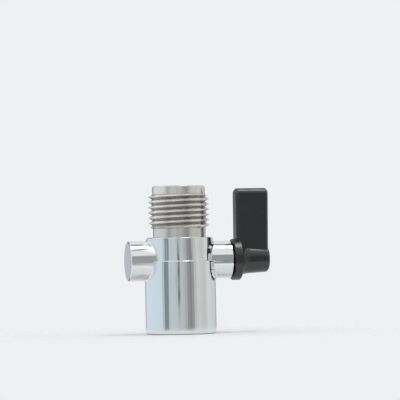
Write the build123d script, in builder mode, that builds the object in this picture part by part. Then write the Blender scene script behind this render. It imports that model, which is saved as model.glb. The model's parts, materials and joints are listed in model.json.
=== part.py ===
from build123d import *
import math
import os

# Shower volume control valve: a plated brass body with a lever-turned plug.
# The waterway runs along Z, from the threaded socket at the bottom to the threaded
# neck at the top. The barrel that holds the plug runs along X, with the lever on
# its +X end. Lengths are millimetres, angles are degrees, and the origin is the
# centre of the socket's mouth. The lever is shown up, with the waterway open.

# Pipe threads, left plain: the neck at its crests, the socket at its smallest bore
thread_major_r = 10.6
thread_height = 1.43
socket_thread_height = 1.1

# Socket at the bottom of the body
socket_wall = 1.7
socket_depth = 15.0
relief_h = 2.6
mouth_flare = 0.8
mouth_depth = 0.45
rim_chamfer = 0.5

# Block above the socket, whose shoulder is level with the barrel's axis
shoulder_z = 25.4
shoulder_step = 0.8
block_cover = 1.1
edge_break = 0.35

# Neck at the top of the body
lower_land = 3.1
thread_len = 11.9
upper_land = 2.8
neck_wall = 2.67
drill_point = 118.0

# Barrel across the body
bore_r = 5.0
boss_wall = 1.9
boss_reach = 18.4
boss_floor = 3.4
collar_wall = 1.5
collar_reach = 18.0
barrel_bevel = 0.45

# Plug and its seals
port_wall = 1.55
oring_side = 1.6
oring_land = 2.3
groove_spare = 0.3
seat_wall = 1.0
end_float = 0.4

# Stem, retaining bush and quarter-turn stop
stem_r = 3.25
drive_af = 4.5
bush_len = 3.0
lug_len = 1.6
lug_angle = 40.0
lug_bearing = 90.0
turn_range = 90.0
stop_play = 2.0

# Lever
flange_overhang = 0.7
flange_t = 3.0
flange_bevel = 0.4
hub_base_r = 5.0
hub_end_r = 4.55
hub_len = 13.0
hub_end_bevel = 0.6
flare_r = 2.4
flare_turn = 60.0
flare_cones = 2
paddle_offset = 1.5
paddle_base_w = 11.1
paddle_top_w = 11.7
paddle_base_t = 7.0
paddle_top_t = 5.4
paddle_rise = 24.8
paddle_crown = 2.2
paddle_bevel = 0.8
ledge_r = 1.8

# Lever screw and its washer
screw_r = 1.5
screw_len = 8.0
screw_head_r = 2.75
screw_head_h = 1.9
screw_head_bevel = 0.9
screw_washer_r = 2.85
screw_washer_t = 0.5
head_sunk = 1.1
web_t = 1.5
tap_spare = 0.8

# Washer in the socket
inlet_washer_t = 2.0
inlet_washer_bore_r = 5.6

# Clearances
running_gap = 0.05
press_gap = 0.01
thrust_gap = 0.1
notch_gap = 0.2
lever_gap = 0.3
drive_gap = 0.05
stem_gap = 0.3
screw_gap = 0.2
recess_gap = 0.2
washer_gap = 0.4
seat_sink = 0.2

# Heights along the waterway
barrel_z = shoulder_z
block_top_z = barrel_z + bore_r + boss_wall + block_cover
thread_low_z = block_top_z + lower_land
thread_top_z = thread_low_z + thread_len
neck_top_z = thread_top_z + upper_land
relief_low_z = socket_depth - relief_h

# Radii about the waterway
neck_r = thread_major_r - thread_height
neck_bore_r = neck_r - neck_wall
socket_r = thread_major_r + socket_wall
socket_thread_r = thread_major_r - socket_thread_height
block_r = socket_r - shoulder_step

# Radii and stations along the barrel
boss_r = bore_r + boss_wall
collar_r = bore_r + collar_wall
plug_r = bore_r - running_gap
port_r = plug_r - port_wall
seat_r = port_r + seat_wall
cone_h = (neck_bore_r - port_r) / math.tan(math.radians(drill_point / 2))
bore_end_x = boss_floor - boss_reach
plug_end_x = bore_end_x + end_float
bush_x = collar_reach - bush_len
shoulder_x = bush_x - thrust_gap
notch_x = bush_x - lug_len - notch_gap
groove_w = oring_side + groove_spare
groove_x = seat_r + oring_land + groove_w / 2
oring_inner_r = plug_r - oring_side
groove_r = oring_inner_r - running_gap
lever_x = collar_reach + lever_gap
flange_r = collar_r + flange_overhang
hub_end_x = lever_x + hub_len
recess_x = hub_end_x - screw_washer_t - screw_head_h - head_sunk
socket_end_x = recess_x - web_t
stem_end_x = socket_end_x - stem_gap
head_x = recess_x + screw_washer_t
screw_tip_x = head_x - screw_len
tap_end_x = screw_tip_x - tap_spare
paddle_x = lever_x + paddle_offset
paddle_top_z = barrel_z + paddle_rise

# Hollow curve from the hub out to the flange, in straight steps from the flange's face
flare_points = []
for step in range(flare_cones, -1, -1):
    flare_lean = math.radians(flare_turn * step / flare_cones)
    flare_points.append((
        lever_x + flange_t + flare_r * (math.sin(math.radians(flare_turn)) - math.sin(flare_lean)),
        hub_base_r + flare_r * (1 - math.cos(flare_lean)),
    ))

# Ledge across the barrel: an arc that touches the leaning face of the paddle and the hub's end circle
paddle_lean = math.atan2((paddle_base_t - paddle_top_t) / 2, paddle_rise)
ledge_off = paddle_base_t / 2 * math.cos(paddle_lean) + ledge_r
ledge_bearing = paddle_lean + math.acos(ledge_off / (hub_end_r + ledge_r))
ledge_y = (hub_end_r + ledge_r) * math.cos(ledge_bearing)
ledge_z = (hub_end_r + ledge_r) * math.sin(ledge_bearing)
ledge_foot_y = hub_end_r * math.cos(ledge_bearing)
ledge_foot_z = hub_end_r * math.sin(ledge_bearing)

barrel_axis = Axis((0, 0, barrel_z), (1, 0, 0))
# Half section through the barrel: x along its axis, y outwards from the axis
barrel_half = Plane((0, 0, barrel_z), x_dir=(1, 0, 0), z_dir=(0, -1, 0))
# Half section through the waterway: x outwards from its axis, y up
waterway_half = Plane.XZ


def barrel_section(x):
    """Plane across the barrel at x, with its own x along Y and its y up."""
    return Plane((x, 0, barrel_z), x_dir=(0, 1, 0), z_dir=(1, 0, 0))


def half_ring(inner_r, outer_r, low, high):
    """Rectangle beside an axis, to be turned into a ring: low and high lie along it."""
    Polyline((low, inner_r), (high, inner_r), (high, outer_r), (low, outer_r), close=True)


def stop_sector(inner_r, outer_r, start, sweep):
    """Outline of a sector of a ring about the barrel, from the start bearing."""
    inner = CenterArc((0, 0), inner_r, start, sweep)
    outer = CenterArc((0, 0), outer_r, start, sweep)
    Line(inner @ 0, outer @ 0)
    Line(inner @ 1, outer @ 1)


def crossed_core(core_r, kept_side):
    """Round core on one side of the shoulder, with the boss and the collar bevelled into it."""
    with BuildPart() as core:
        with BuildSketch(Plane.XY):
            Circle(core_r)
        extrude(amount=block_top_z)
        rims = core.edges().filter_by(GeomType.CIRCLE).sort_by(Axis.Z)
        chamfer(rims[0], rim_chamfer)
        chamfer(rims[-1], edge_break)
        with BuildSketch(barrel_section(-boss_reach)):
            Circle(boss_r)
        extrude(amount=boss_reach)
        with BuildSketch(barrel_section(0)):
            Circle(collar_r)
        extrude(amount=collar_reach)
        chamfer(core.edges().filter_by(GeomType.BSPLINE), barrel_bevel)
        barrel_ends = core.edges().filter_by(GeomType.CIRCLE).sort_by(Axis.X)
        chamfer([barrel_ends[0], barrel_ends[-1]], edge_break)
        split(bisect_by=Plane.XY.offset(shoulder_z), keep=kept_side)
    return core.part


os.makedirs("parts", exist_ok=True)

# Break along the shoulder's edge, clear of the boss and the collar
with BuildPart() as shoulder_edge:
    with BuildSketch(waterway_half):
        with BuildLine():
            Polyline(
                (socket_r - edge_break, shoulder_z),
                (socket_r + edge_break, shoulder_z),
                (socket_r + edge_break, shoulder_z - 2 * edge_break),
                close=True,
            )
        make_face()
    revolve(axis=Axis.Z)
    with BuildSketch(barrel_section(-boss_reach)):
        Circle(boss_r + barrel_bevel)
    extrude(amount=boss_reach, mode=Mode.SUBTRACT)
    with BuildSketch(barrel_section(0)):
        Circle(collar_r + barrel_bevel)
    extrude(amount=collar_reach, mode=Mode.SUBTRACT)

# Valve body
with BuildPart() as valve_body:
    # Socket and block outside, which meet at the shoulder
    add(crossed_core(socket_r, Keep.BOTTOM))
    add(crossed_core(block_r, Keep.TOP))
    add(shoulder_edge.part, mode=Mode.SUBTRACT)
    # Neck outside, with plain lands below and above the thread
    with BuildSketch(waterway_half):
        with BuildLine():
            Polyline(
                (0, shoulder_z),
                (neck_r, shoulder_z),
                (neck_r, thread_low_z),
                (thread_major_r, thread_low_z + thread_height / 2),
                (thread_major_r, thread_top_z - thread_height / 2),
                (neck_r, thread_top_z),
                (neck_r, neck_top_z - edge_break),
                (neck_r - edge_break, neck_top_z),
                (0, neck_top_z),
                close=True,
            )
        make_face()
    revolve(axis=Axis.Z)
    # Socket inside: countersunk mouth, thread wall and the relief that holds the washer
    with BuildSketch(waterway_half):
        with BuildLine():
            Polyline(
                (0, 0),
                (socket_thread_r + mouth_flare, 0),
                (socket_thread_r, mouth_depth),
                (socket_thread_r, relief_low_z),
                (thread_major_r, relief_low_z),
                (thread_major_r, socket_depth),
                (seat_r, socket_depth),
                (seat_r, barrel_z),
                (0, barrel_z),
                close=True,
            )
        make_face()
    revolve(axis=Axis.Z, mode=Mode.SUBTRACT)
    # Neck inside, drilled down to the port
    with BuildSketch(waterway_half):
        with BuildLine():
            Polyline(
                (0, barrel_z),
                (port_r, barrel_z),
                (port_r, block_top_z - cone_h),
                (neck_bore_r, block_top_z),
                (neck_bore_r, neck_top_z - edge_break),
                (neck_bore_r + edge_break, neck_top_z),
                (0, neck_top_z),
                close=True,
            )
        make_face()
    revolve(axis=Axis.Z, mode=Mode.SUBTRACT)
    # Bore across the body for the plug, blind in the boss
    with BuildSketch(barrel_section(bore_end_x)):
        Circle(bore_r)
    extrude(amount=collar_reach - bore_end_x, mode=Mode.SUBTRACT)
valve_body.part.label = "valve_body"
export_step(valve_body.part, "parts/valve_body.step")

# Valve plug
with BuildPart() as valve_plug:
    with BuildSketch(barrel_half):
        with BuildLine():
            Polyline(
                (plug_end_x, 0),
                (plug_end_x, plug_r - edge_break),
                (plug_end_x + edge_break, plug_r),
                (shoulder_x, plug_r),
                (shoulder_x, stem_r),
                (lever_x, stem_r),
                (lever_x, 0),
                close=True,
            )
        make_face()
    revolve(axis=barrel_axis)
    for side in (-1, 1):
        with BuildSketch(barrel_half):
            with BuildLine():
                half_ring(groove_r, bore_r, side * groove_x - groove_w / 2, side * groove_x + groove_w / 2)
            make_face()
        revolve(axis=barrel_axis, mode=Mode.SUBTRACT)
    # Square end of the stem, with its corners left on the round
    with BuildSketch(barrel_section(lever_x)):
        Rectangle(drive_af, drive_af)
        Circle(stem_r, mode=Mode.INTERSECT)
    extrude(amount=stem_end_x - lever_x)
    with BuildSketch(barrel_section(tap_end_x)):
        Circle(screw_r + press_gap)
    extrude(amount=stem_end_x - tap_end_x, mode=Mode.SUBTRACT)
    # Port across the plug, in line with the waterway when the lever is up
    with BuildSketch(Plane.XY.offset(barrel_z - bore_r)):
        Circle(port_r)
    extrude(amount=2 * bore_r, mode=Mode.SUBTRACT)
    # Notch that the bush's lug runs in
    with BuildSketch(barrel_section(notch_x)):
        with BuildLine():
            stop_sector(
                stem_r,
                bore_r,
                lug_bearing - lug_angle / 2 - stop_play - turn_range,
                lug_angle + 2 * stop_play + turn_range,
            )
        make_face()
    extrude(amount=shoulder_x - notch_x, mode=Mode.SUBTRACT)
valve_plug.part.label = "valve_plug"
export_step(valve_plug.part, "parts/valve_plug.step")

# Square-cut rubber rings in the plug's grooves
for oring_name, side in (("inner_oring", -1), ("outer_oring", 1)):
    with BuildPart() as oring:
        with BuildSketch(barrel_section(side * groove_x - oring_side / 2)):
            Circle(plug_r)
            Circle(oring_inner_r, mode=Mode.SUBTRACT)
        extrude(amount=oring_side)
    oring.part.label = oring_name
    export_step(oring.part, f"parts/{oring_name}.step")

# Seat ring, cut to the plug's curve at its top
with BuildPart() as seat_ring:
    with BuildSketch(Plane.XY.offset(socket_depth + seat_sink)):
        Circle(seat_r - press_gap)
        Circle(port_r, mode=Mode.SUBTRACT)
    extrude(amount=barrel_z - socket_depth - seat_sink)
    with BuildSketch(barrel_section(-seat_r)):
        Circle(bore_r)
    extrude(amount=2 * seat_r, mode=Mode.SUBTRACT)
seat_ring.part.label = "seat_ring"
export_step(seat_ring.part, "parts/seat_ring.step")

# Retaining bush with its stop lug
with BuildPart() as retaining_bush:
    with BuildSketch(barrel_section(bush_x)):
        Circle(bore_r - press_gap)
        Circle(stem_r + running_gap, mode=Mode.SUBTRACT)
    extrude(amount=bush_len)
    with BuildSketch(barrel_section(bush_x - lug_len)):
        with BuildLine():
            stop_sector(
                stem_r + running_gap,
                bore_r - press_gap,
                lug_bearing - lug_angle / 2,
                lug_angle,
            )
        make_face()
    extrude(amount=lug_len)
retaining_bush.part.label = "retaining_bush"
export_step(retaining_bush.part, "parts/retaining_bush.step")

# Lever handle
with BuildPart() as lever_handle:
    # Paddle seen from the front, a little wider towards its tip
    with BuildSketch(Plane.XZ):
        with BuildLine():
            Polyline(
                (paddle_x, barrel_z),
                (paddle_x + paddle_base_w, barrel_z),
                (paddle_x + paddle_top_w, paddle_top_z),
                (paddle_x, paddle_top_z),
                close=True,
            )
        make_face()
    extrude(amount=flange_r, both=True)
    # Paddle seen from the side, thinner towards its rounded tip, with hollow ledges above the hub
    with BuildSketch(barrel_section(lever_x)) as side_view:
        with BuildLine():
            for side in (-1, 1):
                ledge = CenterArc(
                    (side * ledge_y, ledge_z),
                    ledge_r,
                    90 + side * (90 + math.degrees(paddle_lean)),
                    side * math.degrees(ledge_bearing - paddle_lean),
                )
                Line((0, 0), ledge @ 1)
                Line(ledge @ 0, (side * paddle_top_t / 2, paddle_rise))
            Line((-paddle_top_t / 2, paddle_rise), (paddle_top_t / 2, paddle_rise))
        make_face()
        fillet(side_view.vertices().group_by(Axis.Y)[-1], paddle_crown)
    extrude(amount=paddle_offset + max(paddle_base_w, paddle_top_w), mode=Mode.INTERSECT)
    paddle_sides = lever_handle.edges().filter_by(Axis.X, reverse=True)
    chamfer(paddle_sides.filter_by_position(Axis.Z, barrel_z + ledge_foot_z, paddle_top_z), paddle_bevel)
    # Flange and hub, turned about the barrel
    with BuildSketch(barrel_half):
        with BuildLine():
            Polyline(
                (lever_x, 0),
                (lever_x, flange_r - flange_bevel),
                (lever_x + flange_bevel, flange_r),
                (lever_x + flange_t - flange_bevel, flange_r),
                (lever_x + flange_t, flange_r - flange_bevel),
                *flare_points,
                (hub_end_x - hub_end_bevel, hub_end_r),
                (hub_end_x, hub_end_r - hub_end_bevel),
                (hub_end_x, 0),
                close=True,
            )
        make_face()
    revolve(axis=barrel_axis)
    # Square socket for the stem, and the screw's recess in the hub's end
    with BuildSketch(barrel_section(lever_x)):
        Rectangle(drive_af + 2 * drive_gap, drive_af + 2 * drive_gap)
    extrude(amount=socket_end_x - lever_x, mode=Mode.SUBTRACT)
    with BuildSketch(barrel_section(socket_end_x)):
        Circle(screw_r + screw_gap)
    extrude(amount=web_t, mode=Mode.SUBTRACT)
    with BuildSketch(barrel_section(recess_x)):
        Circle(screw_washer_r + recess_gap)
    extrude(amount=hub_end_x - recess_x, mode=Mode.SUBTRACT)
lever_handle.part.label = "lever_handle"
export_step(lever_handle.part, "parts/lever_handle.step")

# Lever screw, with a pan head
with BuildPart() as handle_screw:
    with BuildSketch(barrel_half):
        with BuildLine():
            Polyline(
                (screw_tip_x, 0),
                (screw_tip_x, screw_r - edge_break),
                (screw_tip_x + edge_break, screw_r),
                (head_x, screw_r),
                (head_x, screw_head_r),
                (head_x + screw_head_h - screw_head_bevel, screw_head_r),
                (head_x + screw_head_h, screw_head_r - screw_head_bevel),
                (head_x + screw_head_h, 0),
                close=True,
            )
        make_face()
    revolve(axis=barrel_axis)
handle_screw.part.label = "handle_screw"
export_step(handle_screw.part, "parts/handle_screw.step")

# Washer under the screw's head
with BuildPart() as screw_washer:
    with BuildSketch(barrel_section(recess_x)):
        Circle(screw_washer_r)
        Circle(screw_r + screw_gap, mode=Mode.SUBTRACT)
    extrude(amount=screw_washer_t)
screw_washer.part.label = "screw_washer"
export_step(screw_washer.part, "parts/screw_washer.step")

# Washer held in the socket's relief
with BuildPart() as inlet_washer:
    with BuildSketch(Plane.XY.offset(socket_depth - inlet_washer_t)):
        Circle(thread_major_r - washer_gap)
        Circle(inlet_washer_bore_r, mode=Mode.SUBTRACT)
    extrude(amount=inlet_washer_t)
inlet_washer.part.label = "inlet_washer"
export_step(inlet_washer.part, "parts/inlet_washer.step")
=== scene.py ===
"""Looks for a shower volume control valve: plated body with cut threads, moulded lever, screw and stage.

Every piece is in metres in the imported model's own frame: the waterway runs up Z from the socket's mouth,
and the barrel that carries the lever runs along X.
"""

import json
import math

import bmesh
import bpy
from mathutils import Euler, Matrix, Vector


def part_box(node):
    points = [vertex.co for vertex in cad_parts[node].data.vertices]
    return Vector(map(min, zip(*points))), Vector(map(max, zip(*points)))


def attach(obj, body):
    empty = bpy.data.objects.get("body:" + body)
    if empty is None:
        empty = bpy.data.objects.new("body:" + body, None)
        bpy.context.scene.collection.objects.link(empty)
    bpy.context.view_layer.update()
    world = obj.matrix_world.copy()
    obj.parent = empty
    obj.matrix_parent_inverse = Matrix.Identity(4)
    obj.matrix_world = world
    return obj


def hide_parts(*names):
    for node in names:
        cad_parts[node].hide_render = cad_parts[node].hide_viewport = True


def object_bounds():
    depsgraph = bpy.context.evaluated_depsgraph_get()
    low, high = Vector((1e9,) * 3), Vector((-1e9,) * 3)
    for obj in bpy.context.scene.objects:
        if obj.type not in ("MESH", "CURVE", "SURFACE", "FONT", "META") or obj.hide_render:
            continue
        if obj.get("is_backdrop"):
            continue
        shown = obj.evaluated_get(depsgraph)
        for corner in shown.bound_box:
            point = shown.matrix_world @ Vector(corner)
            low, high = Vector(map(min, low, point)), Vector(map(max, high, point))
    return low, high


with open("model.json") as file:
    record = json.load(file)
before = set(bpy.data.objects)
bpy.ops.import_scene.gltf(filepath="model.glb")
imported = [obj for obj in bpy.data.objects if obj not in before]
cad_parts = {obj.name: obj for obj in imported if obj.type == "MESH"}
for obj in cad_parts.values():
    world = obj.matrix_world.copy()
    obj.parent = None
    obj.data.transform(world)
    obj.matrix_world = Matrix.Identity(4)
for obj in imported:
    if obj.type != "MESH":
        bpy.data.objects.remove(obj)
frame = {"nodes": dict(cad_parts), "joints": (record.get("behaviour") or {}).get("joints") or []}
cad_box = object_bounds()

bl_info = {
    "name": "Shower volume control valve",
    "version": (1, 0, 0),
    "blender": (4, 5, 0),
    "location": "3D View > Sidebar > Valve",
    "description": "Threads, finishes and studio for a lever-turned shower valve",
    "category": "Object",
}

MM = 0.001
JOINT_Z = frame["joints"][0]["pos_m"][2]
WATERWAY = (Vector((0, 0, 0)), Vector((0, 0, 1)))
BARREL = (Vector((0, 0, JOINT_Z)), Vector((1, 0, 0)))

# Heights over which the plating changes: block to neck, then into and out of the thread
NECK_START = (33.3 * MM, 33.7 * MM)
THREAD_START = (36.2 * MM, 36.8 * MM)
THREAD_END = (48.2 * MM, 48.7 * MM)
# Radii over which the thread's colour goes from painted shade in the roots to plain sides, and from there
# to a painted highlight on the crests
PAINTED_ROOT_SHADE = (9.3 * MM, 10.1 * MM)
PAINTED_CREST_HIGHLIGHT = (9.8 * MM, 10.4 * MM)

# Points closer than this are one point, and a place closer than this to an axis is on it
NODE_WELD = 2e-6
GROOVE_WELD = 1e-7
ON_AXIS = 1e-6
# Faces are in one plane, or in one smooth sweep, when the cosine between their normals is above these
SAME_PLANE = 0.999998
SAME_SWEEP = 0.9
# A face lies along a direction, or across an axis, up to these parts of its normal
ALONG = 0.02
ACROSS = 0.9999
# A turned face may lean sideways by this part of its normal, and its corners may be out of level by this
TURNED_LEAN = 0.08
TURNED_LEVEL = 2.5e-6
# Edges up to this angle are smooth, and a bevel takes normals from faces up to the second angle away
SMOOTH_ANGLE = math.radians(34)
BEVEL_ANGLE = math.radians(51)
# Part of a turned face's normal along its axis for which a narrow one is a bevel
BEVEL_LEAST = 0.3
BEVEL_MOST = 0.95

# How far the recess's cutter stands out of the screw's head
RECESS_CLEAR = 0.2 * MM

# Parts of the floor's radius at which it begins to fade and is gone
FLOOR_FADE = (0.35, 0.97)
# Each soft lamp's place in metres, width in metres and power in watts
LAMPS = {
    "key_lamp": ((-0.35, -0.35, 0.55), 0.5, 0.25),
    "top_lamp": ((0.13, -0.08, 0.62), 0.2, 0.8),
}


# Sizes and colours that a user would change


def length(name, description, millimetres):
    return bpy.props.FloatProperty(
        name=name,
        description=description,
        default=millimetres * MM,
        precision=5,
        subtype="DISTANCE",
        unit="LENGTH",
    )


def tint(name, description, colour):
    return bpy.props.FloatVectorProperty(
        name=name, description=description, default=colour, size=3, min=0, max=1, subtype="COLOR"
    )


def angle(name, description, degrees):
    return bpy.props.FloatProperty(
        name=name,
        description=description,
        default=math.radians(degrees),
        subtype="ANGLE",
        unit="ROTATION",
    )


def share(name, description, value):
    return bpy.props.FloatProperty(
        name=name, description=description, default=value, min=0, max=1, subtype="FACTOR"
    )


class ValveThreads(bpy.types.PropertyGroup):
    """Pipe threads of the neck and the socket"""

    pitch: length("Pipe pitch", "Height of one turn of both pipe threads", 1.814)
    flank: angle("Flank", "Slope of a thread's side from the plane across its axis", 30)
    crest_flat: length("Crest flat", "Width of the neck thread's crest", 0.14)
    neck_crest_r: length("Neck crest radius", "Outside radius of the neck's thread", 10.6)
    neck_root_r: length("Neck root radius", "Radius at the bottom of the neck's groove", 9.22)
    neck_low: length("Neck groove start", "Height at which the neck's groove begins", 34.9)
    neck_turns: bpy.props.FloatProperty(
        name="Neck turns", description="Turns of the neck's groove", default=8.2, min=1
    )
    socket_crest_r: length("Socket crest radius", "Inside radius of the socket's thread", 9.5)
    socket_root_r: length("Socket root radius", "Radius at the bottom of the socket's groove", 10.5)
    socket_low: length("Socket groove start", "Height at which the socket's groove begins", -1.3)
    socket_turns: bpy.props.FloatProperty(
        name="Socket turns", description="Turns of the socket's groove", default=8.0, min=1
    )
    root_flat: length("Root flat", "Width at the bottom of the socket's groove", 0.16)
    over_cut: length("Over-cut", "How far a groove's cutter stands clear of the crest", 0.05)
    steps: bpy.props.IntProperty(
        name="Steps", description="Straight steps in each turn of a groove", default=72, min=12
    )


class ValveScrew(bpy.types.PropertyGroup):
    """Cross recess of the lever screw"""

    recess_w: length("Recess width", "Width of each slot of the cross recess", 0.75)
    recess_span: length("Recess span", "Length of the cross recess from end to end", 3.1)
    recess_depth: length("Recess depth", "Depth of the cross recess", 1.2)
    recess_taper: share("Recess taper", "Size of the recess's floor as a share of its mouth", 0.45)


class ValveFinishes(bpy.types.PropertyGroup):
    """Colours of the valve's materials"""

    chrome: tint("Chrome", "Bright plating", (0.79, 0.81, 0.82))
    machined: tint("Machined chrome", "Plating over the turned neck", (0.75, 0.735, 0.715))
    plastic: tint("Lever black", "Moulded plastic of the lever", (0.007, 0.0085, 0.0095))
    brass: tint("Brass", "Turned brass inside", (0.72, 0.52, 0.24))
    steel: tint("Steel", "Screw and its washer", (0.6, 0.6, 0.6))
    rubber: tint("Rubber", "Rings and socket washer", (0.028, 0.028, 0.029))
    seat: tint("Seat white", "Low-friction plastic of the seat", (0.84, 0.84, 0.81))


class ValveStage(bpy.types.PropertyGroup):
    """Camera, floor and studio"""

    distance: length("Camera distance", "From the barrel's middle to the camera", 800)
    lens: bpy.props.FloatProperty(
        name="Lens", description="Focal length", default=207.4, subtype="DISTANCE_CAMERA"
    )
    bearing: angle("Camera bearing", "Direction of the camera, seen from above", -12)
    pan: angle("Pan", "Turn of the camera off the barrel's middle", -0.533)
    tilt: angle("Tilt", "Upward tilt of the camera", 1.494)
    roll: angle("Roll", "Roll of the camera", -1.2)
    floor_r: length("Floor radius", "Radius at which the floor has faded out", 100)
    backdrop: tint("Backdrop", "Colour behind the valve", (0.86, 0.87, 0.88))
    floor: tint("Floor", "Colour of the floor", (0.90, 0.905, 0.91))


# Shader maths


class Wire:
    """One socket of a shader tree: sums, differences, products and powers of it add Math nodes."""

    def __init__(self, tree, socket):
        self.tree = tree
        self.socket = socket

    @staticmethod
    def put(tree, socket, value):
        if isinstance(value, Wire):
            tree.links.new(value.socket, socket)
        elif hasattr(socket.default_value, "__len__") and len(value) < len(socket.default_value):
            socket.default_value = (*value, 1)
        else:
            socket.default_value = value

    @staticmethod
    def make(tree, kind, output=0, settings=None, stops=None, **inputs):
        """Adds a node: settings first, then a ramp's stops, then values or links by socket identifier."""
        node = tree.nodes.new(kind)
        for name, value in (settings or {}).items():
            setattr(node, name, value)
        if stops:
            ramp = node.color_ramp
            while len(ramp.elements) < len(stops):
                ramp.elements.new(0.5)
            for element, (place, colour) in zip(ramp.elements, stops):
                element.position = place
                element.color = (*colour, 1)
        by_name = {socket.identifier.replace(" ", "_"): socket for socket in node.inputs}
        for name, value in inputs.items():
            Wire.put(tree, by_name[name], value)
        return Wire(tree, node.outputs[output])

    def maths(self, operation, first, second=0.0):
        return Wire.make(
            self.tree, "ShaderNodeMath", settings={"operation": operation}, Value=first, Value_001=second
        )

    def __add__(self, other):
        return self.maths("ADD", self, other)

    def __radd__(self, other):
        return self.maths("ADD", other, self)

    def __sub__(self, other):
        return self.maths("SUBTRACT", self, other)

    def __rsub__(self, other):
        return self.maths("SUBTRACT", other, self)

    def __mul__(self, other):
        return self.maths("MULTIPLY", self, other)

    def __rmul__(self, other):
        return self.maths("MULTIPLY", other, self)

    def __truediv__(self, other):
        return self.maths("DIVIDE", self, other)

    def __rtruediv__(self, other):
        return self.maths("DIVIDE", other, self)

    def __pow__(self, other):
        return self.maths("POWER", self, other)

    def clamped(self, low, high):
        """0 at low, 1 at high, and eased between."""
        return Wire.make(
            self.tree,
            "ShaderNodeMapRange",
            settings={"interpolation_type": "SMOOTHSTEP"},
            Value=self,
            From_Min=low,
            From_Max=high,
        )

    def mixed(self, first, second):
        """The first colour where this is 0, the second where it is 1."""
        return Wire.make(
            self.tree,
            "ShaderNodeMix",
            output=2,
            settings={"data_type": "RGBA"},
            Factor_Float=self,
            A_Color=first,
            B_Color=second,
        )


class Finish:
    """A material of this valve, with its coordinates and its shader."""

    def __init__(self, name, colour, roughness, metallic=0.0):
        self.material = bpy.data.materials.new(name)
        self.material.use_nodes = True
        self.material.diffuse_color = (*colour, 1)
        self.tree = self.material.node_tree
        self.shader = self.tree.nodes["Principled BSDF"]
        self.set("Base Color", colour)
        self.set("Roughness", roughness)
        self.set("Metallic", metallic)
        self.place = self.make("ShaderNodeTexCoord", output=3)
        parts = self.make("ShaderNodeSeparateXYZ", Vector=self.place).socket.node.outputs
        self.x, self.y, self.z = (Wire(self.tree, part) for part in parts)

    def make(self, kind, **rest):
        return Wire.make(self.tree, kind, **rest)

    def set(self, socket, value):
        Wire.put(self.tree, self.shader.inputs[socket], value)

    def noise(self, size, detail=2.0, place=None, rough=0.5):
        """Noise from 0 to 1 with features of about that size."""
        return self.make(
            "ShaderNodeTexNoise",
            Vector=place or self.place,
            Scale=1 / size,
            Detail=detail,
            Roughness=rough,
        )

    def squeezed(self, x, y, z):
        """Coordinates stretched by a factor along each axis."""
        return self.make("ShaderNodeMapping", Vector=self.place, Scale=(x, y, z))

    def radius_about(self, axis_height=None):
        """Distance from the waterway, or from the barrel's axis at that height."""
        if axis_height is None:
            return (self.x * self.x + self.y * self.y) ** 0.5
        rise = self.z - axis_height
        return (self.y * self.y + rise * rise) ** 0.5

    def bump(self, height, depth):
        """Raises the surface by up to depth, in metres."""
        self.set("Normal", self.make("ShaderNodeBump", Height=height, Distance=depth))


def chrome_finish(colours):
    """Bright plating, faintly smudged and wavy, duller over the turned neck, with painted shade in the
    thread's grooves and on the neck's band below the thread, and a painted highlight on the thread's
    crests.
    """
    chrome = Finish("chrome_plate", colours.chrome, 0.06, 1.0)
    neck = chrome.z.clamped(*NECK_START)
    radius = chrome.radius_about()
    threaded = chrome.z.clamped(*THREAD_START) * (1 - chrome.z.clamped(*THREAD_END))
    # Painted shade darkens the thread's roots, and a painted highlight brightens its crests
    root = threaded * (1 - radius.clamped(*PAINTED_ROOT_SHADE)) * 0.5
    crest = threaded * radius.clamped(*PAINTED_CREST_HIGHLIGHT)
    smudge = chrome.noise(9 * MM, 3).clamped(0.45, 0.75)
    turned = chrome.noise(0.16 * MM, 2, chrome.squeezed(0.02, 0.02, 1))
    base = (smudge * 0.25).mixed(colours.chrome, (0.70, 0.72, 0.73))
    base = neck.mixed(base, colours.machined)
    # Painted shade on the neck's band between the block and the thread
    painted_lower_land_shade = neck * (1 - chrome.z.clamped(*THREAD_START)) * 0.3
    base = painted_lower_land_shade.mixed(base, (0.45, 0.44, 0.41))
    base = crest.mixed(base, (0.96, 0.95, 0.93))
    chrome.set("Base Color", root.mixed(base, (0.22, 0.22, 0.21)))
    chrome.set("Roughness", 0.055 + smudge * 0.035 + neck * (0.14 + turned * 0.14))
    ripple = chrome.noise(7 * MM, 1)
    chrome.bump(ripple * 0.8 + neck * turned * 0.12, 0.02 * MM)
    return chrome.material


def plastic_finish(colours):
    """Satin moulded nylon: fine grain, slow tone changes and a few faint scuffs."""
    plastic = Finish("black_plastic", colours.plastic, 0.35)
    plastic.set("Specular IOR Level", 0.75)
    grain = plastic.noise(0.22 * MM, 2)
    slow = plastic.noise(6 * MM, 2)
    scuff = plastic.noise(1.2 * MM, 4, plastic.squeezed(0.25, 1, 1), 0.6).clamped(0.62, 0.74)
    base = (slow * 0.35).mixed(colours.plastic, (0.016, 0.017, 0.0185))
    plastic.set("Base Color", (scuff * 0.22).mixed(base, (0.06, 0.06, 0.06)))
    plastic.set("Roughness", 0.2 + grain * 0.06 + slow * 0.05 + scuff * 0.08)
    plastic.bump(grain, 0.012 * MM)
    return plastic.material


def brass_finish(colours):
    """Turned brass with fine tool lines round the barrel."""
    brass = Finish("plain_brass", colours.brass, 0.25, 1.0)
    lines = brass.noise(0.12 * MM, 2, brass.squeezed(1, 0.02, 0.02))
    tarnish = brass.noise(4 * MM, 3)
    brass.set("Base Color", (tarnish * 0.4).mixed(colours.brass, (0.60, 0.40, 0.16)))
    brass.set("Roughness", 0.2 + lines * 0.14 + tarnish * 0.06)
    brass.bump(lines, 0.006 * MM)
    return brass.material


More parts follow.
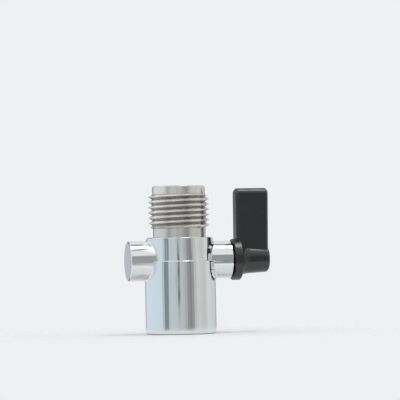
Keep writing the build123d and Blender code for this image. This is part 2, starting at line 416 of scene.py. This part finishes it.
def steel_finish(colours):
    """Stainless steel with rings from facing the head."""
    steel = Finish("screw_steel", colours.steel, 0.3, 1.0)
    ring = steel.radius_about(JOINT_Z)
    facing = steel.make("ShaderNodeCombineXYZ", X=ring, Y=steel.x * 0.1)
    lines = steel.noise(0.09 * MM, 2, facing)
    steel.set("Base Color", (lines * 0.3).mixed(colours.steel, (0.5, 0.5, 0.5)))
    steel.set("Roughness", 0.22 + lines * 0.16)
    steel.bump(lines, 0.004 * MM)
    return steel.material


def rubber_finish(colours):
    """Matt rubber with a dusting of talc."""
    rubber = Finish("black_rubber", colours.rubber, 0.75)
    dust = rubber.noise(0.8 * MM, 4, rough=0.65).clamped(0.5, 0.8)
    grain = rubber.noise(0.15 * MM, 2)
    rubber.set("Base Color", (dust * 0.3).mixed(colours.rubber, (0.09, 0.09, 0.088)))
    rubber.set("Roughness", 0.68 + grain * 0.16)
    rubber.bump(grain, 0.01 * MM)
    return rubber.material


def seat_finish(colours):
    """Waxy white plastic of the seat."""
    seat = Finish("white_seat", colours.seat, 0.4)
    cloud = seat.noise(2 * MM, 2)
    lines = seat.noise(0.1 * MM, 2, seat.squeezed(0.02, 0.02, 1))
    seat.set("Base Color", (cloud * 0.3).mixed(colours.seat, (0.78, 0.78, 0.74)))
    seat.set("Roughness", 0.34 + lines * 0.14)
    seat.bump(lines, 0.004 * MM)
    return seat.material


# Meshes


def merged_copy(node):
    """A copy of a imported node's mesh, with its separate faces joined along their edges."""
    work = bmesh.new()
    work.from_mesh(frame["nodes"][node].data)
    bmesh.ops.remove_doubles(work, verts=work.verts, dist=NODE_WELD)
    mesh = bpy.data.meshes.new(node + "_copy")
    work.to_mesh(mesh)
    work.free()
    if "custom_normal" in mesh.attributes:
        mesh.attributes.remove(mesh.attributes["custom_normal"])
    return mesh


def new_object(name, mesh):
    piece = bpy.data.objects.new(name, mesh)
    bpy.context.scene.collection.objects.link(piece)
    return piece


def baked(piece):
    """The piece's mesh with its modifiers worked in, as a plain mesh on a piece with none."""
    bpy.context.view_layer.update()
    seen = piece.evaluated_get(bpy.context.evaluated_depsgraph_get())
    mesh = bpy.data.meshes.new_from_object(seen)
    piece.modifiers.clear()
    piece.data = mesh
    return piece


def cut(piece, cutter):
    """Takes the cutter's shape out of the piece and removes the cutter."""
    before = len(piece.data.polygons)
    knife = piece.modifiers.new("cut", "BOOLEAN")
    knife.operation = "DIFFERENCE"
    knife.solver = "EXACT"
    knife.object = cutter
    baked(piece)
    bpy.data.objects.remove(cutter)
    if len(piece.data.polygons) <= before:
        raise RuntimeError(f"nothing was cut from {piece.name}")


def groove_tree():
    """Geometry Nodes tree of one helical groove: four-sided section swept up a spiral about Z."""
    tree = bpy.data.node_groups.new("helical_groove", "GeometryNodeTree")
    sizes = ("Inner Radius", "Outer Radius", "Inner Width", "Outer Width", "Pitch", "Turns", "Start Height")
    for name in sizes:
        tree.interface.new_socket(name, in_out="INPUT", socket_type="NodeSocketFloat")
    tree.interface.new_socket("Steps", in_out="INPUT", socket_type="NodeSocketInt")
    tree.interface.new_socket("Material", in_out="INPUT", socket_type="NodeSocketMaterial")
    tree.interface.new_socket("Groove", in_out="OUTPUT", socket_type="NodeSocketGeometry")
    given = tree.nodes.new("NodeGroupInput")

    def maths(operation, first, second):
        node = tree.nodes.new("ShaderNodeMath")
        node.operation = operation
        for socket, value in zip(node.inputs, (first, second)):
            if isinstance(value, bpy.types.NodeSocket):
                tree.links.new(value, socket)
            else:
                socket.default_value = value
        return node.outputs[0]

    def point(x, y):
        node = tree.nodes.new("ShaderNodeCombineXYZ")
        tree.links.new(x, node.inputs["X"])
        tree.links.new(y, node.inputs["Y"])
        return node.outputs[0]

    inner, outer, inner_w, outer_w, pitch, turns, low, steps, material = given.outputs[:9]
    spiral = tree.nodes.new("GeometryNodeCurveSpiral")
    spiral.inputs["Reverse"].default_value = True
    tree.links.new(steps, spiral.inputs["Resolution"])
    tree.links.new(turns, spiral.inputs["Rotations"])
    tree.links.new(inner, spiral.inputs["Start Radius"])
    tree.links.new(inner, spiral.inputs["End Radius"])
    tree.links.new(maths("MULTIPLY", pitch, turns), spiral.inputs["Height"])
    rise = tree.nodes.new("ShaderNodeCombineXYZ")
    tree.links.new(low, rise.inputs["Z"])
    lifted = tree.nodes.new("GeometryNodeTransform")
    tree.links.new(spiral.outputs[0], lifted.inputs["Geometry"])
    tree.links.new(rise.outputs[0], lifted.inputs["Translation"])
    upright = tree.nodes.new("GeometryNodeSetCurveNormal")
    upright.mode = "Z_UP"
    tree.links.new(lifted.outputs[0], upright.inputs["Curve"])
    # The section's x runs outwards from the spiral, and its y along the axis
    reach = maths("SUBTRACT", outer, inner)
    none = maths("SUBTRACT", inner, inner)
    section = tree.nodes.new("GeometryNodeCurvePrimitiveQuadrilateral")
    section.mode = "POINTS"
    corners = ((none, inner_w, -0.5), (reach, outer_w, -0.5), (reach, outer_w, 0.5), (none, inner_w, 0.5))
    for i, (out, width, side) in enumerate(corners):
        tree.links.new(point(out, maths("MULTIPLY", width, side)), section.inputs[f"Point {i + 1}"])
    swept = tree.nodes.new("GeometryNodeCurveToMesh")
    swept.inputs["Fill Caps"].default_value = True
    tree.links.new(upright.outputs[0], swept.inputs["Curve"])
    tree.links.new(section.outputs[0], swept.inputs["Profile Curve"])
    real = tree.nodes.new("GeometryNodeRealizeInstances")
    tree.links.new(swept.outputs[0], real.inputs["Geometry"])
    coated = tree.nodes.new("GeometryNodeSetMaterial")
    tree.links.new(real.outputs[0], coated.inputs["Geometry"])
    tree.links.new(material, coated.inputs["Material"])
    result = tree.nodes.new("NodeGroupOutput")
    tree.links.new(coated.outputs[0], result.inputs[0])
    return tree


def groove(name, material, **sizes):
    """A closed cutter in the shape of one helical groove about the waterway."""
    cutter = new_object(name, bpy.data.meshes.new(name))
    tree = bpy.data.node_groups.get("helical_groove") or groove_tree()
    grow = cutter.modifiers.new("groove", "NODES")
    grow.node_group = tree
    keys = {item.name: item.identifier for item in tree.interface.items_tree if item.in_out == "INPUT"}
    for label, value in sizes.items():
        grow[keys[label.replace("_", " ").title()]] = value
    grow[keys["Material"]] = material
    baked(cutter)
    work = bmesh.new()
    work.from_mesh(cutter.data)
    bmesh.ops.remove_doubles(work, verts=work.verts, dist=GROOVE_WELD)
    bmesh.ops.recalc_face_normals(work, faces=work.faces)
    work.to_mesh(cutter.data)
    work.free()
    return cutter


def flat_regions(work, least_area, least_width):
    """Faces that lie in one plane with their neighbours, over at least that area and width."""
    flat = set()
    waiting = set(work.faces)
    while waiting:
        region = [waiting.pop()]
        for face in region:
            for edge in face.edges:
                for other in edge.link_faces:
                    if other in waiting and other.normal.dot(region[0].normal) > SAME_PLANE:
                        waiting.remove(other)
                        region.append(other)
        area = sum(face.calc_area() for face in region)
        places = [vert.co for face in region for vert in face.verts]
        span = max((place - places[0]).length for place in places)
        if area >= least_area and area / span >= least_width:
            flat.update(face.index for face in region)
    return flat


def turned_normal(face, corner, axis):
    """The face's normal, carried round the axis to one of its corners."""
    origin, along = axis
    middle = face.calc_center_median() - origin
    out = middle - along * middle.dot(along)
    here = corner - origin
    here -= along * here.dot(along)
    if out.length < ON_AXIS or here.length < ON_AXIS:
        return face.normal.copy()
    out.normalize()
    here.normalize()
    return (along * face.normal.dot(along) + here * face.normal.dot(out)).normalized()


def is_turned(face, axis):
    """Whether the face is part of a surface that was turned about the axis."""
    origin, along = axis
    middle = face.calc_center_median() - origin
    out = middle - along * middle.dot(along)
    if out.length < ON_AXIS:
        return abs(face.normal.dot(along)) > ACROSS
    out.normalize()
    rise = face.normal.dot(along)
    spread = face.normal.dot(out)
    if (face.normal - along * rise - out * spread).length > TURNED_LEAN:
        return False
    levels = []
    for vert in face.verts:
        here = vert.co - origin
        high = here.dot(along)
        levels.append(rise * high + spread * (here - along * high).length)
    return max(levels) - min(levels) < TURNED_LEVEL


def swept_normals(work, along):
    """Corner normals of the faces that run straight along a direction, smooth round its curves."""
    swept = [face for face in work.faces if abs(face.normal.dot(along)) < ALONG]
    around = {}
    for face in swept:
        for vert in face.verts:
            around.setdefault(vert.index, []).append(face)
    normals = {}
    for face in swept:
        own = []
        for vert in face.verts:
            near = [other for other in around[vert.index] if other.normal.dot(face.normal) > SAME_SWEEP]
            own.append(sum((other.normal for other in near), Vector()).normalized())
        normals[face.index] = own
    return normals


def smooth_as_made(piece, axes, bevel_width=0.75 * MM, flat_area=3e-6, sweep=None):
    """Corner normals as the real surfaces have them: exact on turned and flat faces, smooth on swept
    ones, and rolled over from face to face across narrow bevels."""
    mesh = piece.data
    mesh.shade_smooth()
    work = bmesh.new()
    work.from_mesh(mesh)
    work.normal_update()
    work.faces.ensure_lookup_table()
    for edge in work.edges:
        edge.smooth = len(edge.link_faces) == 2 and edge.calc_face_angle() < SMOOTH_ANGLE
    work.to_mesh(mesh)
    mesh.update()
    normals = [Vector(corner.vector) for corner in mesh.corner_normals]
    flat = flat_regions(work, flat_area, bevel_width if sweep else 0)
    main = swept_normals(work, sweep) if sweep else {}
    for face in work.faces:
        if face.index in flat:
            main[face.index] = [face.normal.copy() for _ in face.verts]
            continue
        for axis in axes:
            if is_turned(face, axis):
                rise = abs(face.normal.dot(axis[1]))
                heights = [vert.co.dot(axis[1]) for vert in face.verts]
                tall = max(heights) - min(heights)
                slope = math.sqrt(max(1 - rise * rise, 0))
                if not (BEVEL_LEAST < rise < BEVEL_MOST and tall < bevel_width * slope):
                    main[face.index] = [turned_normal(face, vert.co, axis) for vert in face.verts]
                break
    at_vert = {}
    for index, own in main.items():
        for vert, normal in zip(work.faces[index].verts, own):
            at_vert.setdefault(vert.index, []).append(normal)
    for face in work.faces:
        own = main.get(face.index)
        for k, loop in enumerate(face.loops):
            if own:
                normals[loop.index] = own[k]
                continue
            near = max(at_vert.get(loop.vert.index, ()), key=face.normal.dot, default=None)
            if near is not None and near.dot(face.normal) > math.cos(BEVEL_ANGLE):
                normals[loop.index] = near
    for edge in work.edges:
        edge.smooth = True
    work.to_mesh(mesh)
    work.free()
    mesh.normals_split_custom_set([tuple(n) for n in normals])
    mesh.update()


def dress(piece, material):
    piece.data.materials.clear()
    piece.data.materials.append(material)
    for polygon in piece.data.polygons:
        polygon.material_index = 0


def finish_piece(piece, node, body):
    """Hands a finished piece to the frame: it stands for the node and moves with the body."""
    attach(piece, body)
    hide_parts(node)


# Operators


class VALVE_OT_body(bpy.types.Operator):
    """Cut both pipe threads into the body and plate it"""

    bl_idname = "valve.body"
    bl_label = "Plated body"

    def execute(self, context):
        sizes = context.scene.valve_threads
        chrome = chrome_finish(context.scene.valve_finishes)
        body = new_object("plated_body", merged_copy("valve_body"))
        slope = math.tan(sizes.flank)
        mouth = sizes.pitch - sizes.crest_flat
        depth = sizes.neck_crest_r - sizes.neck_root_r
        neck = groove(
            "neck_groove",
            chrome,
            inner_radius=sizes.neck_root_r,
            outer_radius=sizes.neck_crest_r + sizes.over_cut,
            inner_width=mouth - 2 * depth * slope,
            outer_width=mouth + 2 * sizes.over_cut * slope,
            pitch=sizes.pitch,
            turns=sizes.neck_turns,
            start_height=sizes.neck_low,
            steps=sizes.steps,
        )
        cut(body, neck)
        depth = sizes.socket_root_r - sizes.socket_crest_r + sizes.over_cut
        socket = groove(
            "socket_groove",
            chrome,
            inner_radius=sizes.socket_crest_r - sizes.over_cut,
            outer_radius=sizes.socket_root_r,
            inner_width=sizes.root_flat + 2 * depth * slope,
            outer_width=sizes.root_flat,
            pitch=sizes.pitch,
            turns=sizes.socket_turns,
            start_height=sizes.socket_low,
            steps=sizes.steps,
        )
        cut(body, socket)
        dress(body, chrome)
        smooth_as_made(body, (WATERWAY, BARREL))
        finish_piece(body, "valve_body", "body")
        return {"FINISHED"}


class VALVE_OT_lever(bpy.types.Operator):
    """Soften the lever's edges and give it its moulded finish"""

    bl_idname = "valve.lever"
    bl_label = "Moulded lever"

    def execute(self, context):
        lever = new_object("moulded_lever", merged_copy("lever_handle"))
        dress(lever, plastic_finish(context.scene.valve_finishes))
        smooth_as_made(lever, (BARREL,), bevel_width=1.4 * MM, sweep=BARREL[1])
        finish_piece(lever, "lever_handle", "lever")
        return {"FINISHED"}


class VALVE_OT_screw(bpy.types.Operator):
    """Cut the cross recess of the lever screw"""

    bl_idname = "valve.screw"
    bl_label = "Lever screw"

    def execute(self, context):
        sizes = context.scene.valve_screw
        steel = steel_finish(context.scene.valve_finishes)
        head_end_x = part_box("handle_screw")[1].x
        screw = new_object("lever_screw", merged_copy("handle_screw"))
        for quarter in range(2):
            cut(screw, self.recess(sizes, head_end_x, quarter * math.pi / 2))
        dress(screw, steel)
        smooth_as_made(screw, (BARREL,), bevel_width=0.3 * MM, flat_area=0.4e-6)
        finish_piece(screw, "handle_screw", "lever")
        dress(frame["nodes"]["screw_washer"], steel)
        return {"FINISHED"}

    def recess(self, sizes, end_x, turn):
        """One tapered slot of the cross recess, as a closed cutter."""
        work = bmesh.new()
        rings = []
        for depth, scale in ((-RECESS_CLEAR, 1.0), (sizes.recess_depth, sizes.recess_taper)):
            ring = []
            for y, z in ((-1, -1), (1, -1), (1, 1), (-1, 1)):
                across = y * sizes.recess_w * (0.5 + 0.5 * scale) / 2
                along = z * sizes.recess_span * scale / 2
                ring.append(work.verts.new((end_x - depth, across, along)))
            rings.append(ring)
        work.faces.new(rings[0])
        work.faces.new(rings[1][::-1])
        for i in range(4):
            work.faces.new((rings[0][i - 1], rings[0][i], rings[1][i], rings[1][i - 1]))
        spin = Matrix.Translation((0, 0, JOINT_Z)) @ Matrix.Rotation(turn + math.pi / 4, 4, "X")
        bmesh.ops.transform(work, matrix=spin, verts=work.verts)
        bmesh.ops.recalc_face_normals(work, faces=work.faces)
        mesh = bpy.data.meshes.new("recess")
        work.to_mesh(mesh)
        work.free()
        return new_object("recess", mesh)


class VALVE_OT_inner_pieces(bpy.types.Operator):
    """Give the plug, bush, seals, seat and washer their finishes"""

    bl_idname = "valve.inner_pieces"
    bl_label = "Inner pieces"

    def execute(self, context):
        colours = context.scene.valve_finishes
        for finish, nodes in (
            (brass_finish(colours), ("valve_plug", "retaining_bush")),
            (rubber_finish(colours), ("inner_oring", "outer_oring", "inlet_washer")),
            (seat_finish(colours), ("seat_ring",)),
        ):
            for node in nodes:
                dress(frame["nodes"][node], finish)
        return {"FINISHED"}


class VALVE_OT_stage(bpy.types.Operator):
    """Set the camera, the pale floor and the soft studio round the valve"""

    bl_idname = "valve.stage"
    bl_label = "Stage"

    def execute(self, context):
        settings = context.scene.valve_stage
        self.camera(context, settings)
        self.floor(settings)
        self.studio(context, settings)
        for name, (place, size, power) in LAMPS.items():
            self.lamp(context, name, Vector(place), size, power)
        context.scene.view_settings.view_transform = "Standard"
        return {"FINISHED"}

    def camera(self, context, settings):
        data = bpy.data.cameras.new("camera")
        data.lens = settings.lens
        data.clip_start = 0.01
        camera = bpy.data.objects.new("camera", data)
        context.scene.collection.objects.link(camera)
        side = Vector((math.sin(settings.bearing), -math.cos(settings.bearing), 0))
        place = side * settings.distance + BARREL[0]
        aim = Euler((math.pi / 2 + settings.tilt, 0, settings.bearing + settings.pan)).to_matrix().to_4x4()
        camera.matrix_world = Matrix.Translation(place) @ aim @ Matrix.Rotation(settings.roll, 4, "Z")
        context.scene.camera = camera

    def floor(self, settings):
        """A pale disc that fades out into the backdrop."""
        work = bmesh.new()
        bmesh.ops.create_circle(work, cap_ends=True, segments=96, radius=settings.floor_r)
        mesh = bpy.data.meshes.new("floor")
        work.to_mesh(mesh)
        work.free()
        floor = new_object("floor", mesh)
        finish = Finish("pale_floor", settings.floor, 0.8)
        speckle = finish.noise(3 * MM, 3)
        finish.set("Base Color", (speckle * 0.15).mixed(settings.floor, (0.86, 0.86, 0.86)))
        finish.set("Specular IOR Level", 0.2)
        away = finish.radius_about().clamped(*(part * settings.floor_r for part in FLOOR_FADE))
        finish.set("Alpha", 1 - away)
        dress(floor, finish.material)
        floor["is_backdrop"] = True

    def studio(self, context, settings):
        """World: the studio's panels, and a plain backdrop seen directly and in metal between them."""
        world = bpy.data.worlds.new("studio")
        context.scene.world = world
        world.use_nodes = True
        tree = world.node_tree
        sky = tree.nodes["Background"]
        way = Wire.make(tree, "ShaderNodeTexCoord")
        front = Vector((math.sin(settings.bearing), -math.cos(settings.bearing), 0))
        right = Vector((math.cos(settings.bearing), math.sin(settings.bearing), 0))

        def along(axis):
            return Wire.make(
                tree,
                "ShaderNodeVectorMath",
                output=1,
                settings={"operation": "DOT_PRODUCT"},
                Vector=way,
                Vector_001=tuple(axis),
            )

        up = along((0, 0, 1))
        bearing = up.maths("ARCTAN2", along(right), along(front)) / (2 * math.pi) + 0.5
        height = up.maths("ARCSINE", up) / math.pi + 0.5

        def at(degrees):
            return degrees / 360 + 0.5

        def level(degrees):
            return degrees / 180 + 0.5

        def between(low, high):
            """0 at the first elevation, 1 at the second."""
            return up.clamped(math.sin(math.radians(low)), math.sin(math.radians(high)))

        # Walls by bearing from the camera, with the two dark uprights that the plating shows
        walls = Wire.make(
            tree,
            "ShaderNodeValToRGB",
            Fac=bearing,
            stops=[
                (at(-180), (0.48, 0.49, 0.50)),
                (at(-172), (0.50, 0.51, 0.53)),
                (at(-150), (0.56, 0.58, 0.62)),
                (at(-140), (0.74, 0.86, 0.94)),
                (at(-64), (0.70, 0.82, 0.89)),
                (at(-54), (0.46, 0.51, 0.55)),
                (at(-49), (0.24, 0.27, 0.29)),
                (at(-46), (0.42, 0.47, 0.50)),
                (at(-42.5), (0.23, 0.26, 0.28)),
                (at(-36), (0.59, 0.66, 0.69)),
                (at(-15), (0.60, 0.67, 0.70)),
                (at(4), (0.58, 0.62, 0.63)),
                (at(17), (0.50, 0.52, 0.51)),
                (at(25), (0.34, 0.355, 0.355)),
                (at(39), (0.25, 0.265, 0.265)),
                (at(45), (0.52, 0.54, 0.53)),
                (at(60), (0.72, 0.74, 0.71)),
                (at(85), (0.62, 0.64, 0.63)),
                (at(100), (0.78, 0.80, 0.78)),
                (at(145), (0.66, 0.70, 0.72)),
                (at(162), (0.34, 0.36, 0.37)),
                (at(180), (0.62, 0.63, 0.64)),
            ],
        )
        # Cards over and under the valve, by elevation
        cards = Wire.make(
            tree,
            "ShaderNodeValToRGB",
            Fac=height,
            stops=[
                (level(-90), (0.92, 0.92, 0.91)),
                (level(-66), (0.92, 0.92, 0.91)),
                (level(-62), (0.45, 0.46, 0.47)),
                (level(-58), (1.5, 1.5, 1.48)),
                (level(-32), (1.3, 1.3, 1.28)),
                (level(34), (0.94, 0.94, 0.93)),
                (level(58), (0.92, 0.92, 0.91)),
                (level(66), (0.42, 0.43, 0.44)),
                (level(74), (0.48, 0.49, 0.50)),
                (level(80), (0.85, 0.86, 0.87)),
                (level(90), (0.90, 0.91, 0.92)),
            ],
        )
        # The dark upright of the camera's stand, just left of the lens
        stand = bearing.clamped(at(-12), at(-10)) * (1 - bearing.clamped(at(-4.5), at(-2.5)))
        stand = stand * between(-1.6, -0.7) * (0.95 - between(-0.1, 0.3) * 0.45)
        walls = stand.mixed(walls, (0.05, 0.055, 0.06))
        # Dark behind the valve on the boss's side, but for a low card that the boss's end shows
        behind = bearing.clamped(at(-179), at(-174)) * (1 - bearing.clamped(at(-144), at(-136)))
        card = between(-3, -2) * (1 - between(1, 2))
        walls = (behind * (1 - card) * 0.85).mixed(walls, (0.08, 0.08, 0.09))
        # The walls are coloured at the height of the lens alone
        coloured = between(-7, -4) * (1 - between(1, 2.5))
        walls = Wire.make(tree, "ShaderNodeHueSaturation", Saturation=coloured, Color=walls)
        room = (between(27, 33) + between(-22, -28)).mixed(walls, cards)
        # The opening between the panels, behind the valve
        gap = 1 - bearing.clamped(at(-176), at(-168)) + bearing.clamped(at(168), at(176))
        gap = gap * between(-20, -12) * (1 - between(12, 20))
        rays = Wire.make(tree, "ShaderNodeLightPath").socket.node.outputs
        direct, glossy, through = (
            Wire(tree, rays[f"Is {kind} Ray"]) for kind in ("Camera", "Glossy", "Transmission")
        )
        seen = direct + through + glossy * gap
        Wire.put(tree, sky.inputs["Color"], seen.mixed(room, tuple(settings.backdrop)))

    def lamp(self, context, name, place, size, power):
        """A square soft lamp aimed at the valve's middle."""
        data = bpy.data.lights.new(name, "AREA")
        data.size = size
        data.energy = power
        lamp = bpy.data.objects.new(name, data)
        context.scene.collection.objects.link(lamp)
        lamp.location = place
        lamp.rotation_euler = (BARREL[0] - place).to_track_quat("-Z", "Y").to_euler()


class VALVE_PT_panel(bpy.types.Panel):
    """Sizes, colours and steps of the valve"""

    bl_idname = "VALVE_PT_panel"
    bl_label = "Shower valve"
    bl_space_type = "VIEW_3D"
    bl_region_type = "UI"
    bl_category = "Valve"

    def draw(self, context):
        for title, group in (
            ("Threads", context.scene.valve_threads),
            ("Screw", context.scene.valve_screw),
            ("Finishes", context.scene.valve_finishes),
            ("Stage", context.scene.valve_stage),
        ):
            box = self.layout.box()
            box.label(text=title)
            for name in group.__annotations__:
                box.prop(group, name)
        for step in STEPS:
            self.layout.operator(step.bl_idname)


GROUPS = {
    "valve_threads": ValveThreads,
    "valve_screw": ValveScrew,
    "valve_finishes": ValveFinishes,
    "valve_stage": ValveStage,
}
STEPS = (VALVE_OT_stage, VALVE_OT_body, VALVE_OT_lever, VALVE_OT_screw, VALVE_OT_inner_pieces)


def register():
    for name, group in GROUPS.items():
        bpy.utils.register_class(group)
        setattr(bpy.types.Scene, name, bpy.props.PointerProperty(type=group))
    for step in STEPS:
        bpy.utils.register_class(step)
    bpy.utils.register_class(VALVE_PT_panel)


def unregister():
    bpy.utils.unregister_class(VALVE_PT_panel)
    for step in reversed(STEPS):
        bpy.utils.unregister_class(step)
    for name, group in reversed(GROUPS.items()):
        delattr(bpy.types.Scene, name)
        bpy.utils.unregister_class(group)


def main():
    register()
    bpy.ops.valve.stage()
    bpy.ops.valve.body()
    bpy.ops.valve.lever()
    bpy.ops.valve.screw()
    bpy.ops.valve.inner_pieces()
    boxes = {"cad": cad_box, "visual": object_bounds()}
    {name: [list(corner) for corner in box] for name, box in boxes.items()}


if __name__ == "__main__":
    main()
